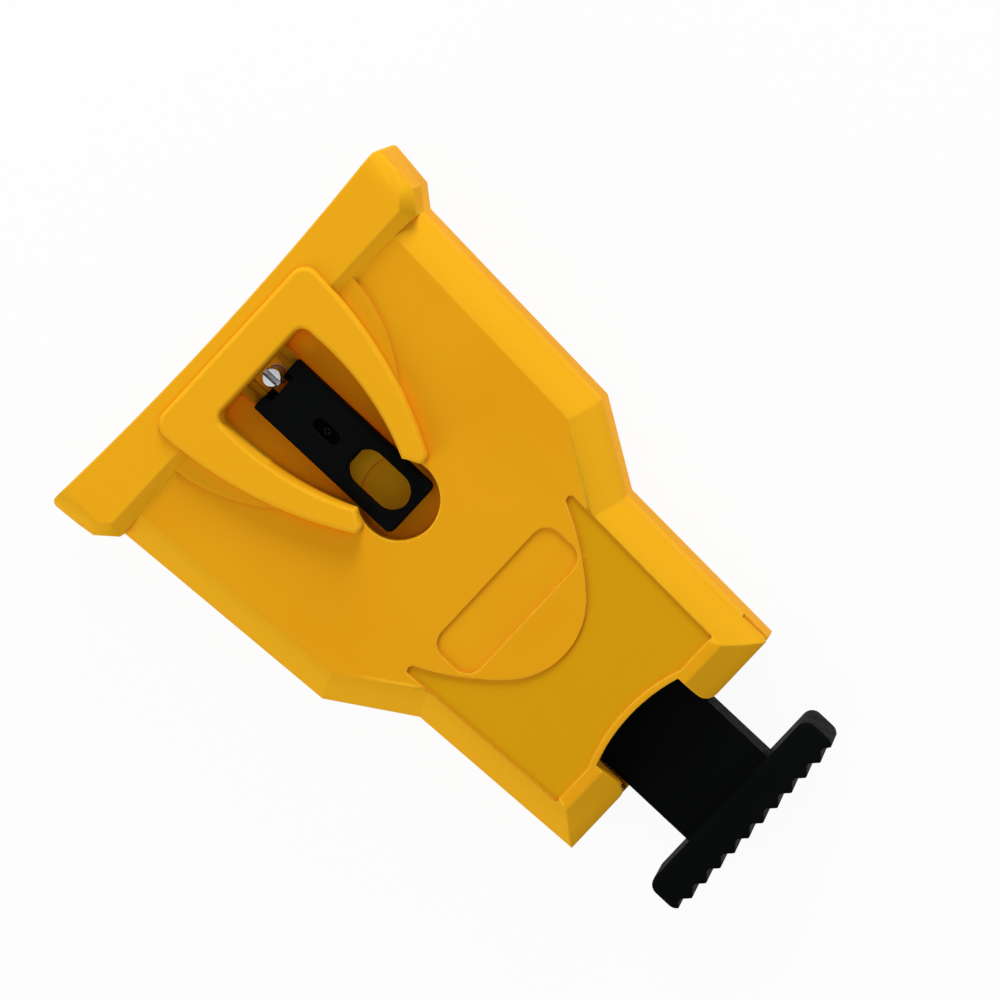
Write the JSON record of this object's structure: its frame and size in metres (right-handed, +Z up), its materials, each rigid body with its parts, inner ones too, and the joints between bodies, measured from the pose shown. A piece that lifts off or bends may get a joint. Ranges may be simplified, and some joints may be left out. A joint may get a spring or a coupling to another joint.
{
  "type": "chain saw sharpener",
  "caption": "Clip-on chain sharpener: hinged yellow casing halves close over a guide bar's nose, and a T handle pushes a crescent grinding stone against the running chain.",
  "frame": {"origin": "centre of the bounding box's bottom face, under the middle of the part as it lies on its back casing", "axes": "+X across the part, +Y towards the wide mouth that takes the guide bar, +Z up from the back casing to the front casing with the latch"},
  "size_m": [0.1186, 0.18, 0.0385],
  "materials": {
    "yellow_plastic": "satin moulded",
    "black_plastic": "satin moulded",
    "steel": "zinc plated",
    "dark_steel": "black oxide",
    "blued_steel": "blued",
    "grinding_stone": "sintered abrasive"
  },
  "bodies": {
    "back_case": {"back_casing": "yellow_plastic", "latch_pin": "steel", "locating_pin": "steel", "latch_pin_washer": "steel", "latch_pin_nut": "steel", "locating_pin_washer": "steel", "locating_pin_nut": "steel", "hinge_pin_right": "blued_steel", "hinge_pin_left": "blued_steel"},
    "front_case": {"front_casing": "yellow_plastic"},
    "latch": {"latch_slider": "black_plastic", "slider_keeper": "black_plastic", "slider_screw": "dark_steel"},
    "push_grip": {"push_handle": "black_plastic", "grinding_stone": "grinding_stone", "stone_clamp": "steel", "clamp_screw": "steel", "clamp_nut": "steel"}
  },
  "joints": [
    {"name": "case_hinge", "type": "hinge", "parent": "back_case", "child": "front_case", "pos_m": [0, -0.0565, 0.02], "axis": [1, 0, 0], "range_deg": [0, 90]},
    {"name": "latch_slide", "type": "slide", "parent": "front_case", "child": "latch", "axis": [0, 1, 0], "range_m": [0, 0.0045]},
    {"name": "handle_slide", "type": "slide", "parent": "back_case", "child": "push_grip", "axis": [0, 1, 0], "range_m": [0, 0.009]}
  ]
}
